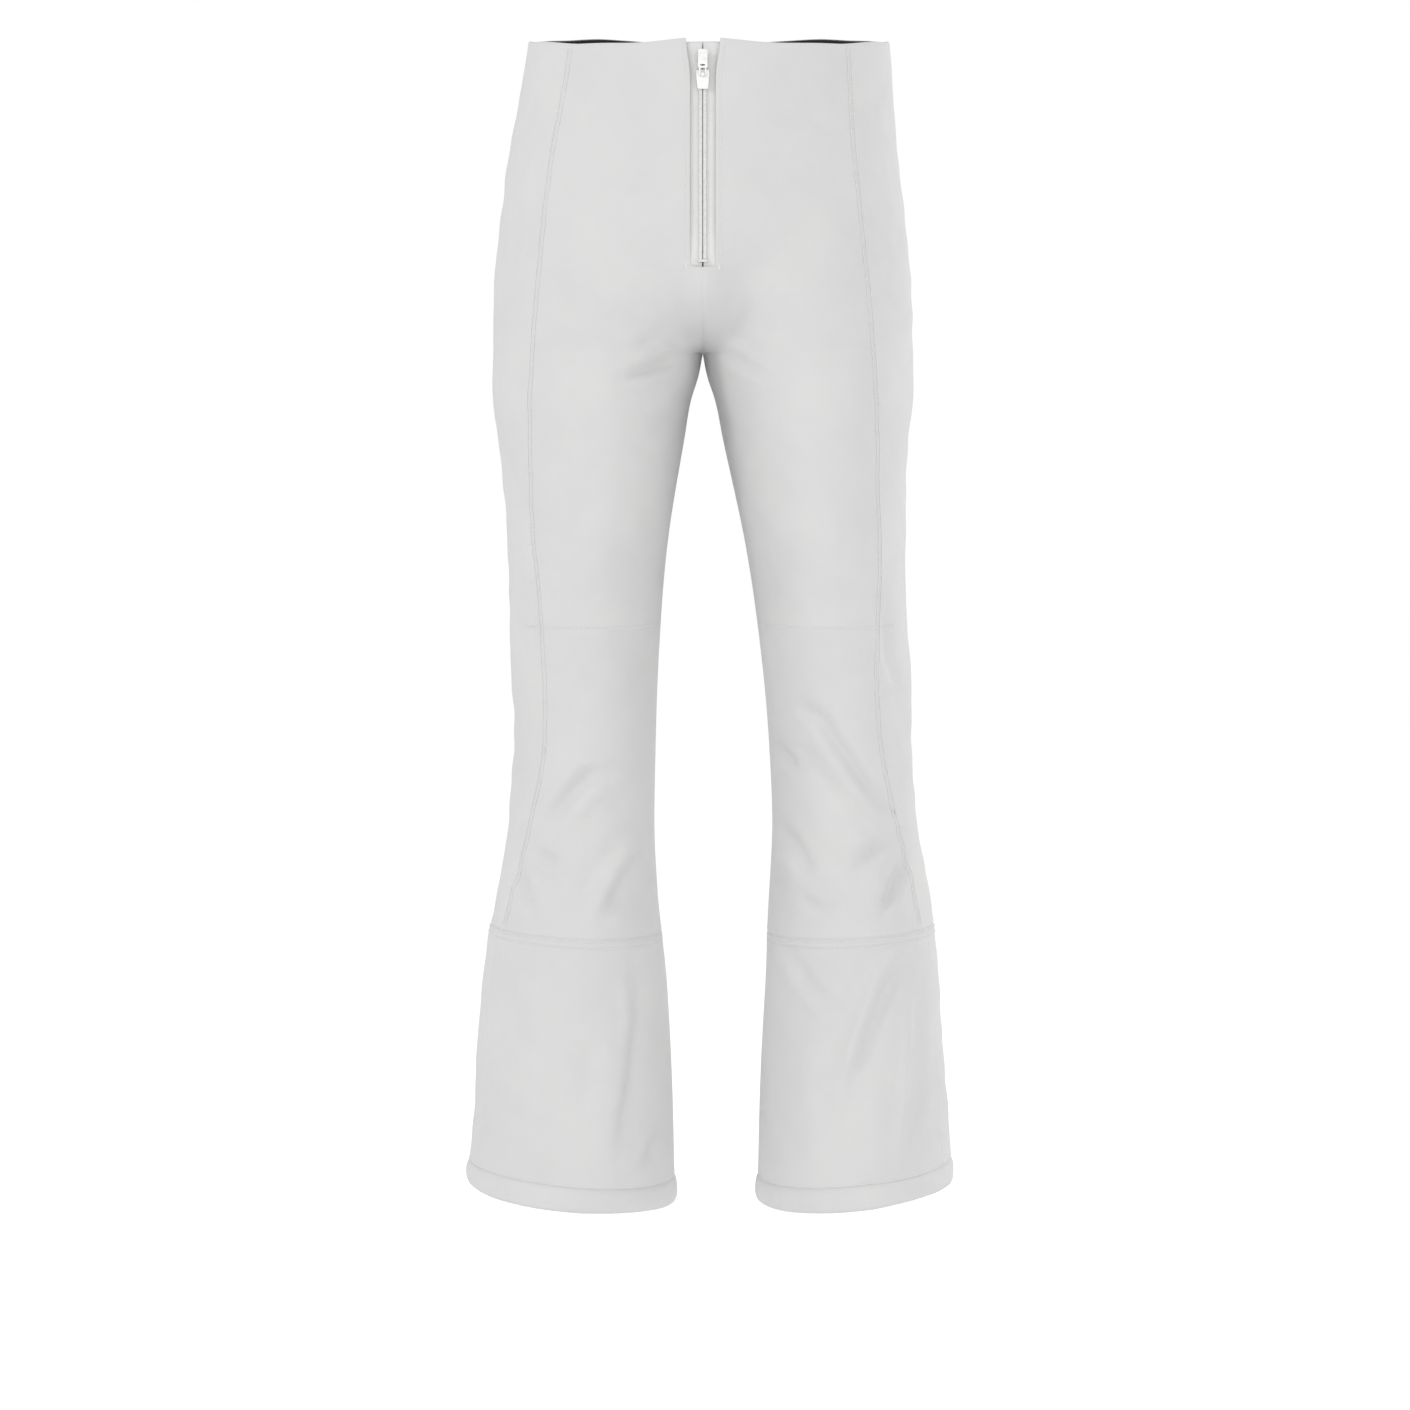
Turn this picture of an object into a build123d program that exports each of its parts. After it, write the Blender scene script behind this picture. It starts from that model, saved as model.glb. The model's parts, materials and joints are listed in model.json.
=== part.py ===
"""High-waist flared ski pants: sewn shell panels, exposed front zip, inner snow gaiters.

Frame: millimetres, +Z up, the wearer faces -Y, +X is the wearer's left.
The origin is the centre of the waist opening, level with its front edge.
"""
from build123d import *
import os

os.makedirs("parts", exist_ok=True)

# ---- driving dimensions -------------------------------------------------
WALL = 2.0             # softshell with its seam allowance
SEAM_GAP = 0.3         # clearance between separately sewn layers
OVERRUN = 5.0          # how far cutting forms run past the open ends
REACH = 400.0          # longer than any depth of the garment
SIDES = (("left", 1), ("right", -1))

FRONT_REACH = 88.0     # centre front at the waist edge
FRONT_SLOPE = 0.08     # the centre front moves forward this much per mm downwards
WAIST_RISE = 24.0      # the waist edge is this much higher at the centre back
RISE_START = -20.0     # and starts to rise here, just in front of the side
CROTCH_Z = -265.0
KNEE_SEAM_Z = -505.0
CALF_Z = -690.0
CUFF_SEAM_Z = -777.0
HEM_SEAM_Z = -994.0
HEM_Z = -1016.0
LEG_TOP_Z = -185.0     # the leg forms start here, inside the hip form
STANCE_SHIFT = 9.5     # both legs stand this far towards the wearer's left
SEAM_LEAN = 0.1        # slope of the hem, which is higher on its outer side
FLARE_MIDDLE = 125.0   # middle line of the flared lower leg
FLARE_BACK = 1.0

# height, half width, back reach of the body above the crotch
HIP_STATIONS = [
    (28.0, 154.5, 80.0),
    (-90.0, 170.5, 99.0),
    (-180.0, 182.5, 126.0),
    (CROTCH_Z, 186.0, 131.0),
]
BACK_REACH = 83.0      # centre back at the waist edge
# height, distance from the middle line, half width, front reach, back reach of a leg
LEG_STATIONS = [
    (LEG_TOP_Z, 91.5, 88.0, 88.0, 108.0),
    (CROTCH_Z, 94.5, 91.0, 97.0, 118.0),
    (-340.0, 99.5, 82.0, 99.0, 109.0),
    (-435.0, 105.5, 70.5, 95.0, 92.0),
    (-530.0, 111.5, 66.0, 87.0, 79.0),
    (-625.0, 114.5, 63.0, 77.0, 74.0),
    (CALF_Z, 118.0, 65.0, 71.0, 75.0),
    (-789.0, 123.5, 77.0, 73.0, 81.0),
    (-887.0, 125.0, 84.0, 80.0, 87.0),
    (HEM_Z - 10.0, 127.5, 90.5, 90.0, 92.0),
]
# distance from the middle line and height of the seam beside the front panel
PRINCESS_SEAM = [
    (114.0, 30.0),
    (136.0, -95.0),
    (150.0, -275.0),
    (149.0, -435.0),
    (146.0, -575.0),
    (157.0, -650.0),
    (184.0, -787.0),
]

HEM_BULGE = 1.5        # the folded hem stands proud of the leg

# along the zip, distances are measured up the centre front from the waist edge
ZIP_TOP = -2.0
COIL_TOP = -24.0
COIL_BOTTOM = -188.0
TAPE_BOTTOM = -197.0
WINDOW_BOTTOM = -194.0
WINDOW_HALF = 11.0
WINDOW_FLARE = 14.5    # half width of the window at the waist edge
FLARE_END = -34.0
# and depths are measured out of the cloth's outer face
TAPE_WIDTH = 15.0
TAPE_BACK = -3.4
TAPE_FRONT = -2.8
COIL_FRONT = -1.0
SLIT_HALF = 0.6        # half the slit between the two coils
COIL_WIDTH = 2.8
COIL_ROUND = 0.6
STOP_LENGTH = 2.4
STOP_PROUD = 0.5
STOP_WIDTH = 3.4
STOP_ROUND = 0.5

SLIDER_TOP = -27.0
SLIDER_LENGTH = 16.0
SLIDER_SHOULDER = 11.0
SLIDER_TAIL = 8.8
PLATE_ROUND = 1.0
CHANNEL_WIDTH = 7.8
FLANGE_BACK = -2.3
FRONT_PLATE = (-0.5, 1.3)
REAR_PLATE = (-5.2, -4.0)
POST_HALF = 0.3
POST_LENGTH = 6.0
LUG_WIDTH = 3.0
LUG_RADIUS = 2.0
LUG_BASE = 7.0
LUG_ANGLE = 60.0
PIVOT_UP = -31.0       # the pull tab's pivot along the zip
PIVOT_OUT = 2.4        # and out of the cloth
PIN_RADIUS = 0.7
RUNNING_FIT = 0.05

TAB_WIDTH = 8.0
TAB_LENGTH = 16.0
TAB_ROOT = 5.5         # from the pivot to the solid part of the tab
TAB_SLOT = (4.6, 1.6)
TAB_ROUND = 1.5
TAB_ARM_LAP = 1.0
ARM_INSIDE = 1.9
ARM_OUTSIDE = 3.1

FACING_DROP = 1.0      # the facing ends this far below the waist edge
FACING_BOTTOM = -55.0
FACING_WALL = 1.2
FACING_FRONT_HALF = 20.0
SHIELD = (-7.4, -6.4)
SHIELD_WIDTH = 34.0
SHIELD_BOTTOM = -203.0
SHIELD_ROUND = 4.0

HOOK_MID = -12.0       # height of the waist hook on the zip's line
HOOK_WIDTH = 8.0
HOOK_WIRE = 0.6
BAR_RADIUS = 0.4

HOOK_OUT = -4.6        # back of the hook's plate, out of the cloth
HOOK_DEPTH = 1.6
HOOK_TONGUE = 7.0
HOOK_MOUTH = 2.0
HOOK_PLATE = 14.0
BAR_X = -4.6
BAR_FOOT = -9.0
BAR_PLATE = 6.0
BAR_LENGTH = 12.0

LOOP_WIDTH = 24.0
LOOP_LENGTH = 62.0
LOOP_TAPE = 4.0
LOOP_THICK = 1.2
LOOP_X = 150.0
LOOP_TOP = -8.0

GAITER_TOP_Z = -815.0
GAITER_WAIST_Z = -850.0
GAITER_BAND_Z = -950.0
GAITER_HEM_Z = -972.0
GAITER_TOP_HALF = 71.0
GAITER_WAIST_HALF = 68.0
GAITER_BAND_HALF = 58.0
GAITER_WALL = 1.6
ELASTIC_WALL = 2.6
LACE_HOOK_SIZE = (10.0, 14.0, 1.2)
LACE_HOOK_LIP = 4.0


def stance(z):
    """Sideways shift of the leg's middle line, easing in from the crotch to the calf."""
    ease = min(max((CROTCH_Z - z) / (CROTCH_Z - CALF_Z), 0.0), 1.0)
    return STANCE_SHIFT * ease * ease * (3.0 - 2.0 * ease)


def front_reach(z):
    """Depth of the centre front, a straight line down the zip."""
    return FRONT_REACH - FRONT_SLOPE * z


def across(side, z, lean=0.0):
    """Plane across a leg at height z, centred in it, and leaning up outwards."""
    middle = side * FLARE_MIDDLE + stance(z)
    return Plane(origin=(middle, FLARE_BACK, z), x_dir=(1, 0, side * lean), z_dir=(-side * lean, 0, 1))


def seam_plane(side, z):
    """Plane of a seam round the leg: level down to the knee, then leaning more towards the hem."""
    share = max((KNEE_SEAM_Z - z) / (KNEE_SEAM_Z - HEM_Z), 0.0)
    return across(side, z, SEAM_LEAN * share)


def above_waist(drop):
    """The space above a line that runs drop below the waist edge."""
    slope = WAIST_RISE / (BACK_REACH - RISE_START)
    with BuildPart() as space:
        with BuildSketch(Plane.YZ):
            with BuildLine():
                Polyline(
                    (-REACH, -drop),
                    (RISE_START, -drop),
                    (REACH, slope * (REACH - RISE_START) - drop),
                    (REACH, REACH),
                    (-REACH, REACH),
                    close=True,
                )
            make_face()
        extrude(amount=REACH, both=True)
    return space.part


def hip_form(inset, overrun):
    """Closed solid of the hips, drawn in by inset and lengthened at the waist."""
    top = HIP_STATIONS[0][0]
    with BuildPart() as form:
        for z, half_width, back in HIP_STATIONS:
            height = z
            if z == top:
                height = z + overrun
            if z == CROTCH_Z:
                height = z + inset
            front = front_reach(height)
            with BuildSketch(Plane.XY.offset(height)):
                with Locations((0, (back - front) / 2)):
                    Ellipse(half_width - inset, (back + front) / 2 - inset)
        loft()
    return form.part


def leg_form(side, inset, overrun):
    """Closed solid of one leg, drawn in by inset and lengthened at the hem."""
    foot = LEG_STATIONS[-1][0]
    with BuildPart() as form:
        for z, middle, half_width, front, back in LEG_STATIONS:
            height = z - overrun if z == foot else z
            with BuildSketch(Plane.XY.offset(height)):
                with Locations((side * middle + stance(z), (back - front) / 2)):
                    Ellipse(half_width - inset, (front + back) / 2 - inset)
        loft(ruled=True)
    return form.part


def save(part, name):
    """Label a finished piece and write it to its own file."""
    part.label = name
    export_step(part, f"parts/{name}.step")


# ---- the shell, before it is cut into panels ----------------------------
with BuildPart() as shell:
    add(hip_form(0.0, 0.0))
    for _, side in SIDES:
        add(leg_form(side, 0.0, 0.0))
    add(hip_form(WALL, OVERRUN), mode=Mode.SUBTRACT)
    for _, side in SIDES:
        add(leg_form(side, WALL, OVERRUN), mode=Mode.SUBTRACT)
    add(above_waist(0.0), mode=Mode.SUBTRACT)

# the centre front: local X is across, local Y up the zip, local Z out of the cloth
ZIP_PLANE = Plane(origin=(0, -FRONT_REACH, 0), x_dir=(1, 0, 0), z_dir=(0, -1, FRONT_SLOPE))
# the same seen from the wearer's left: local X up the zip, local Y out of the cloth
ZIP_SIDE = Plane(origin=(0, -FRONT_REACH, 0), x_dir=ZIP_PLANE.y_dir, z_dir=(1, 0, 0))
UP_THE_ZIP = Axis(ZIP_PLANE.origin, ZIP_PLANE.y_dir)


def shell_panel(name, side, inboard, depth, both, top, bottom, window=False):
    """Cut a panel inboard or outboard of the princess seam, between two heights."""
    seam = [(side * distance + stance(z), z) for distance, z in PRINCESS_SEAM]
    edge = 0.0 if inboard else side * REACH
    with BuildPart() as panel:
        add(shell.part)
        with BuildSketch(Plane.XZ):
            with BuildLine():
                line = Spline(*seam)
                Polyline(line @ 1, (edge, seam[-1][1]), (edge, seam[0][1]), line @ 0)
            make_face()
        extrude(amount=depth, both=both, mode=Mode.INTERSECT)
        split(bisect_by=seam_plane(side, top), keep=Keep.BOTTOM)
        split(bisect_by=seam_plane(side, bottom), keep=Keep.TOP)
        if window:
            with BuildSketch(Plane.XZ.offset(FRONT_REACH / 2)):
                with BuildLine():
                    Polyline(
                        (0, OVERRUN),
                        (side * WINDOW_FLARE, OVERRUN),
                        (side * WINDOW_FLARE, 0),
                        (side * WINDOW_HALF, FLARE_END),
                        (side * WINDOW_HALF, WINDOW_BOTTOM),
                        (0, WINDOW_BOTTOM),
                        close=True,
                    )
                make_face()
            extrude(amount=REACH, mode=Mode.SUBTRACT)
    save(panel.part, name)


def flare_panel(name, side, face):
    """Half of the flared lower leg, in front of or behind its two side seams."""
    with BuildPart() as panel:
        add(shell.part)
        split(bisect_by=Plane.YZ, keep=Keep.TOP if side > 0 else Keep.BOTTOM)
        split(bisect_by=Plane.XZ, keep=face)
        split(bisect_by=seam_plane(side, CUFF_SEAM_Z), keep=Keep.BOTTOM)
        split(bisect_by=seam_plane(side, HEM_SEAM_Z), keep=Keep.TOP)
    save(panel.part, name)


TOP_Z = HIP_STATIONS[0][0] + OVERRUN
for word, side in SIDES:
    shell_panel(f"front_panel_{word}", side, True, REACH, False, TOP_Z, KNEE_SEAM_Z, True)
    shell_panel(f"shin_panel_{word}", side, True, REACH, False, KNEE_SEAM_Z, CUFF_SEAM_Z)
    shell_panel(f"back_panel_{word}", side, True, -REACH, False, TOP_Z, CUFF_SEAM_Z)
    shell_panel(f"side_panel_{word}", side, False, REACH, True, TOP_Z, CUFF_SEAM_Z)
    flare_panel(f"flare_front_{word}", side, Keep.TOP)
    flare_panel(f"flare_back_{word}", side, Keep.BOTTOM)


# ---- rings round a leg: hem band, gaiter, elastic -----------------------
def leg_ring(name, stations, wall):
    """Tube lofted through (plane, half width, half depth), with its wall inwards."""
    with BuildPart() as ring:
        for inset, mode in ((0.0, Mode.ADD), (wall, Mode.SUBTRACT)):
            for plane, half_width, half_depth in stations:
                with BuildSketch(plane):
                    Ellipse(half_width - inset, half_depth - inset)
            loft(mode=mode)
    save(ring.part, name)


HEM_HALF = LEG_STATIONS[-1][2]
HEM_DEPTH = (LEG_STATIONS[-1][3] + LEG_STATIONS[-1][4]) / 2
for word, side in SIDES:
    leg_ring(
        f"hem_band_{word}",
        [
            (seam_plane(side, HEM_Z), HEM_HALF + 2 * HEM_BULGE, HEM_DEPTH + 2 * HEM_BULGE),
            (seam_plane(side, HEM_SEAM_Z - SEAM_GAP), HEM_HALF + HEM_BULGE, HEM_DEPTH + HEM_BULGE),
        ],
        WALL + HEM_BULGE,
    )
    leg_ring(
        f"snow_gaiter_{word}",
        [
            (across(side, GAITER_TOP_Z), GAITER_TOP_HALF, GAITER_TOP_HALF),
            (across(side, GAITER_WAIST_Z), GAITER_WAIST_HALF, GAITER_WAIST_HALF),
            (across(side, GAITER_BAND_Z), GAITER_BAND_HALF, GAITER_BAND_HALF),
        ],
        GAITER_WALL,
    )
    leg_ring(
        f"gaiter_elastic_{word}",
        [
            (across(side, GAITER_BAND_Z - SEAM_GAP), GAITER_BAND_HALF, GAITER_BAND_HALF),
            (across(side, GAITER_HEM_Z), GAITER_BAND_HALF, GAITER_BAND_HALF),
        ],
        ELASTIC_WALL,
    )

# ---- waist facing -------------------------------------------------------
with BuildPart() as facing:
    add(hip_form(WALL + SEAM_GAP, OVERRUN))
    add(hip_form(WALL + SEAM_GAP + FACING_WALL, OVERRUN), mode=Mode.SUBTRACT)
    add(above_waist(FACING_DROP), mode=Mode.SUBTRACT)
    split(bisect_by=Plane.XY.offset(FACING_BOTTOM), keep=Keep.TOP)

with BuildPart() as facing_back:
    add(facing.part)
    split(bisect_by=Plane.XZ, keep=Keep.BOTTOM)
save(facing_back.part, "waist_facing_back")

for word, side in SIDES:
    with BuildPart() as facing_front:
        add(facing.part)
        split(bisect_by=Plane.XZ, keep=Keep.TOP)
        cut = Plane.YZ.offset(side * FACING_FRONT_HALF)
        split(bisect_by=cut, keep=Keep.TOP if side > 0 else Keep.BOTTOM)
    save(facing_front.part, f"waist_facing_{word}")

# ---- zip: shield, tapes, coils, stops -----------------------------------
with BuildPart() as fly_shield:
    with BuildSketch(ZIP_PLANE.offset(SHIELD[0])):
        with Locations((0, (ZIP_TOP + SHIELD_BOTTOM) / 2)):
            RectangleRounded(SHIELD_WIDTH, ZIP_TOP - SHIELD_BOTTOM, SHIELD_ROUND)
    extrude(amount=SHIELD[1] - SHIELD[0])
save(fly_shield.part, "fly_shield")

for word, side in SIDES:
    with BuildPart() as tape:
        with BuildSketch(ZIP_PLANE.offset(TAPE_BACK)):
            with Locations((side * (SLIT_HALF + TAPE_WIDTH / 2), (ZIP_TOP + TAPE_BOTTOM) / 2)):
                Rectangle(TAPE_WIDTH, ZIP_TOP - TAPE_BOTTOM)
        extrude(amount=TAPE_FRONT - TAPE_BACK)
    save(tape.part, f"zip_tape_{word}")

    with BuildPart() as coil:
        with BuildSketch(ZIP_PLANE.offset(TAPE_FRONT)):
            with Locations((side * (SLIT_HALF + COIL_WIDTH / 2), (COIL_TOP + COIL_BOTTOM) / 2)):
                Rectangle(COIL_WIDTH, COIL_TOP - COIL_BOTTOM)
        extrude(amount=COIL_FRONT - TAPE_FRONT)
        fillet(coil.edges().filter_by(UP_THE_ZIP), COIL_ROUND)
    save(coil.part, f"zip_coil_{word}")

    with BuildPart() as top_stop:
        with BuildSketch(ZIP_PLANE.offset(TAPE_FRONT)):
            with Locations((side * (SLIT_HALF + STOP_WIDTH / 2), COIL_TOP + STOP_LENGTH / 2)):
                Rectangle(STOP_WIDTH, STOP_LENGTH)
        extrude(amount=COIL_FRONT + STOP_PROUD - TAPE_FRONT)
        fillet(top_stop.edges().filter_by(Axis.X), STOP_ROUND)
    save(top_stop.part, f"zip_top_stop_{word}")

with BuildPart() as bottom_stop:
    with BuildSketch(ZIP_PLANE.offset(TAPE_FRONT)):
        with Locations((0, COIL_BOTTOM - STOP_LENGTH / 2)):
            Rectangle(2 * (SLIT_HALF + STOP_WIDTH), STOP_LENGTH)
    extrude(amount=COIL_FRONT + STOP_PROUD - TAPE_FRONT)
    fillet(bottom_stop.edges().filter_by(Axis.X), STOP_ROUND)
save(bottom_stop.part, "zip_bottom_stop")

# ---- slider body: two plates, post, flanges and the lug for the pull ----
SLIDER_MID = SLIDER_TOP - SLIDER_LENGTH / 2
with BuildPart() as slider:
    for back, front in (FRONT_PLATE, REAR_PLATE):
        with BuildSketch(ZIP_PLANE.offset(back)):
            with BuildLine():
                Polyline(
                    (-SLIDER_SHOULDER / 2, SLIDER_TOP),
                    (SLIDER_SHOULDER / 2, SLIDER_TOP),
                    (SLIDER_SHOULDER / 2, SLIDER_TOP - SLIDER_LENGTH / 3),
                    (SLIDER_TAIL / 2, SLIDER_TOP - SLIDER_LENGTH),
                    (-SLIDER_TAIL / 2, SLIDER_TOP - SLIDER_LENGTH),
                    (-SLIDER_SHOULDER / 2, SLIDER_TOP - SLIDER_LENGTH / 3),
                    close=True,
                )
            outline = make_face()
            fillet(outline.vertices(), PLATE_ROUND)
        extrude(amount=front - back)
    with BuildSketch(ZIP_PLANE.offset(FLANGE_BACK)):
        with BuildLine():
            Polyline(
                (-SLIDER_SHOULDER / 2, SLIDER_TOP - SLIDER_LENGTH / 6),
                (SLIDER_SHOULDER / 2, SLIDER_TOP - SLIDER_LENGTH / 6),
                (SLIDER_SHOULDER / 2, SLIDER_TOP - SLIDER_LENGTH / 3),
                (SLIDER_TAIL / 2, SLIDER_TOP - SLIDER_LENGTH + PLATE_ROUND),
                (-SLIDER_TAIL / 2, SLIDER_TOP - SLIDER_LENGTH + PLATE_ROUND),
                (-SLIDER_SHOULDER / 2, SLIDER_TOP - SLIDER_LENGTH / 3),
                close=True,
            )
        make_face()
        with Locations((0, SLIDER_MID)):
            Rectangle(CHANNEL_WIDTH, SLIDER_LENGTH, mode=Mode.SUBTRACT)
    extrude(amount=FRONT_PLATE[0] - FLANGE_BACK)
    with BuildSketch(ZIP_PLANE.offset(REAR_PLATE[1])):
        with Locations((0, SLIDER_TOP - POST_LENGTH / 2)):
            Rectangle(2 * POST_HALF, POST_LENGTH)
    extrude(amount=FRONT_PLATE[0] - REAR_PLATE[1])
    with BuildSketch(ZIP_SIDE):
        with Locations((PIVOT_UP, PIVOT_OUT)):
            Circle(LUG_RADIUS)
        with Locations((PIVOT_UP, (PIVOT_OUT + FRONT_PLATE[0]) / 2)):
            Trapezoid(LUG_BASE, PIVOT_OUT - FRONT_PLATE[0], LUG_ANGLE)
    extrude(amount=LUG_WIDTH / 2, both=True)
    with BuildSketch(ZIP_SIDE):
        with Locations((PIVOT_UP, PIVOT_OUT)):
            Circle(PIN_RADIUS + RUNNING_FIT)
    extrude(amount=LUG_WIDTH, both=True, mode=Mode.SUBTRACT)
save(slider.part, "zip_slider")

# ---- pull tab: pin through the lug, two arms and the grip ---------------
with BuildPart() as pull_tab:
    with BuildSketch(ZIP_PLANE.offset(PIVOT_OUT - PIN_RADIUS)):
        with Locations((0, PIVOT_UP + TAB_ROOT + TAB_LENGTH / 2)):
            RectangleRounded(TAB_WIDTH, TAB_LENGTH, TAB_ROUND)
        with Locations((0, PIVOT_UP + TAB_ROOT + TAB_SLOT[1] * 1.5)):
            SlotOverall(TAB_SLOT[0], TAB_SLOT[1], mode=Mode.SUBTRACT)
        arm_middle = (ARM_INSIDE + ARM_OUTSIDE) / 2
        arm_length = TAB_ROOT + TAB_ARM_LAP
        arm_height = PIVOT_UP + arm_length / 2
        with Locations((-arm_middle, arm_height), (arm_middle, arm_height)):
            Rectangle(ARM_OUTSIDE - ARM_INSIDE, arm_length)
    extrude(amount=2 * PIN_RADIUS)
    with BuildSketch(ZIP_SIDE):
        with Locations((PIVOT_UP, PIVOT_OUT)):
            Circle(PIN_RADIUS)
    extrude(amount=ARM_OUTSIDE, both=True)
save(pull_tab.part, "zip_pull_tab")

# ---- waist hook and bar, behind the top of the zip ----------------------
HOOK_PLANE = ZIP_PLANE.offset(HOOK_OUT)
HOOK_LAYERS = (
    (0.0, -HOOK_TONGUE, HOOK_PLATE),
    (-HOOK_DEPTH, -HOOK_TONGUE, -HOOK_MOUTH),
)
with BuildPart() as waist_hook:
    for back, start, stop in HOOK_LAYERS:
        with BuildSketch(HOOK_PLANE.offset(back)):
            with Locations(((start + stop) / 2, HOOK_MID)):
                Rectangle(stop - start, HOOK_WIDTH)
        extrude(amount=HOOK_WIRE)
    with BuildSketch(HOOK_PLANE.offset(-HOOK_DEPTH)):
        with Locations((-HOOK_TONGUE - HOOK_WIRE / 2, HOOK_MID)):
            Rectangle(HOOK_WIRE, HOOK_WIDTH)
    extrude(amount=HOOK_DEPTH + HOOK_WIRE)
save(waist_hook.part, "waist_hook")

with BuildPart() as waist_bar:
    bar_middle = (HOOK_WIRE - HOOK_DEPTH) / 2
    with BuildSketch(HOOK_PLANE.offset(bar_middle - BAR_RADIUS)):
        with Locations(((BAR_X + BAR_FOOT) / 2, HOOK_MID)):
            Rectangle(BAR_X - BAR_FOOT, BAR_LENGTH)
            Rectangle(BAR_X - BAR_FOOT - 2 * BAR_RADIUS, BAR_LENGTH - 4 * BAR_RADIUS, mode=Mode.SUBTRACT)
        with Locations((BAR_FOOT - BAR_PLATE / 2, HOOK_MID)):
            Rectangle(BAR_PLATE, BAR_LENGTH)
    extrude(amount=2 * BAR_RADIUS)
save(waist_bar.part, "waist_bar")

# ---- hanger loops and gaiter lace hooks ---------------------------------
for word, side in SIDES:
    with BuildPart() as hanger_loop:
        with BuildSketch(Plane.YZ.offset(side * LOOP_X - LOOP_THICK / 2)):
            with Locations((0, LOOP_TOP - LOOP_LENGTH / 2)):
                RectangleRounded(LOOP_WIDTH, LOOP_LENGTH, LOOP_TAPE)
                gap = (LOOP_WIDTH - 2 * LOOP_TAPE, LOOP_LENGTH - 2 * LOOP_TAPE)
                Rectangle(*gap, mode=Mode.SUBTRACT)
        extrude(amount=LOOP_THICK)
    save(hanger_loop.part, f"hanger_loop_{word}")

    with BuildPart() as lace_hook:
        width, height, thick = LACE_HOOK_SIZE
        hook_front = FLARE_BACK - GAITER_BAND_HALF - SEAM_GAP
        middle = side * FLARE_MIDDLE + STANCE_SHIFT
        with BuildSketch(Plane.XZ.offset(-hook_front)):
            with Locations((middle, GAITER_HEM_Z)):
                RectangleRounded(width, height, thick)
        extrude(amount=thick)
        with BuildSketch(Plane.XZ.offset(-hook_front)):
            with Locations((middle, GAITER_HEM_Z - height / 2 + thick)):
                Rectangle(width - 2 * thick, thick)
        extrude(amount=LACE_HOOK_LIP)
    save(lace_hook.part, f"gaiter_hook_{word}")
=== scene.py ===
import json
import math

import bmesh
import bpy
import numpy as np
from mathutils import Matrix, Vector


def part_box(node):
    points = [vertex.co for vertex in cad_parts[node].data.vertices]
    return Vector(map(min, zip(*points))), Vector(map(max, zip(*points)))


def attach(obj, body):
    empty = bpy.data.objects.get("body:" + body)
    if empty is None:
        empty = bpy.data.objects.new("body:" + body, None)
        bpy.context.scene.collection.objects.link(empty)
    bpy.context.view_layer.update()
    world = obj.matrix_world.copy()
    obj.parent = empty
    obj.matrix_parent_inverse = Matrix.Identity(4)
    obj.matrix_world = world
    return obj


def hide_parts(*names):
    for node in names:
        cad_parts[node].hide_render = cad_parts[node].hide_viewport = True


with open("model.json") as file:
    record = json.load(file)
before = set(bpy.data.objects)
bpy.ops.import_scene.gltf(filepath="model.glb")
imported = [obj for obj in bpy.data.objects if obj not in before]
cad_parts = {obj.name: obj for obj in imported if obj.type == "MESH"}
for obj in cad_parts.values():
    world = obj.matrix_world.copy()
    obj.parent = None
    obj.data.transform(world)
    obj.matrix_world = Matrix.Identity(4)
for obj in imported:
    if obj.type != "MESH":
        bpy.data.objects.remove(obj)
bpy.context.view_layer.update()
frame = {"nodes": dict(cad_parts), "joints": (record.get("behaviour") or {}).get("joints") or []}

# The cloth is worked out in millimetres in the frame's axes, and each mesh is written in metres.
MM = 0.001
SIDES = (("left", 1), ("right", -1))
rng = np.random.default_rng(11)

# ---- sizes -----------------------------------------------------------------
KNEE_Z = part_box("shin_panel_left")[1][2] / MM
CUFF_Z = -777.0
HEM_SEAM_Z = -994.0
HEM_Z = -1016.0
WAIST_Z = 0.0
COIL_BOX = [np.array(corner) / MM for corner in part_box("zip_coil_left")]
STANCE_SHIFT = 9.5     # both legs stand this far towards the wearer's left
CROTCH_Z = -265.0
CALF_Z = -690.0
WINDOW_BOTTOM = -194.0
WINDOW_HALF = 11.0     # half width of the zip window
WINDOW_FLARE = 3.5     # how much wider each half is at the waist
FLARE_HEIGHT = 34.0    # height over which the window widens
WINDOW_ROUND = 2.5     # radius of its bottom corners
FRONT_REACH = 88.0     # centre front at the waist
BACK_REACH = 84.0      # centre back at the waist
FLARE_MIDDLE = 125.0   # middle line of the flared lower leg
SEAM_LEAN = 0.1        # slope of the hem, which is higher on its outer side
WAIST_RISE = 17.8      # the waist edge is this much higher at the back
RISE_START = -62.0     # and starts to rise here, in front of the side
WAIST_SWAY = 5.5       # the waist leans this far to one side

# height, half width, front reach, back reach of the hips
HIPS = [
    (28.0, 154.5, 86.0, 80.0),
    (0.0, 158.0, 88.0, 84.0),
    (-90.0, 170.5, 95.2, 99.0),
    (-180.0, 182.5, 102.4, 126.0),
    (CROTCH_Z, 186.0, 109.2, 131.0),
    (-335.0, 184.0, 111.0, 118.0),
]
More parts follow.
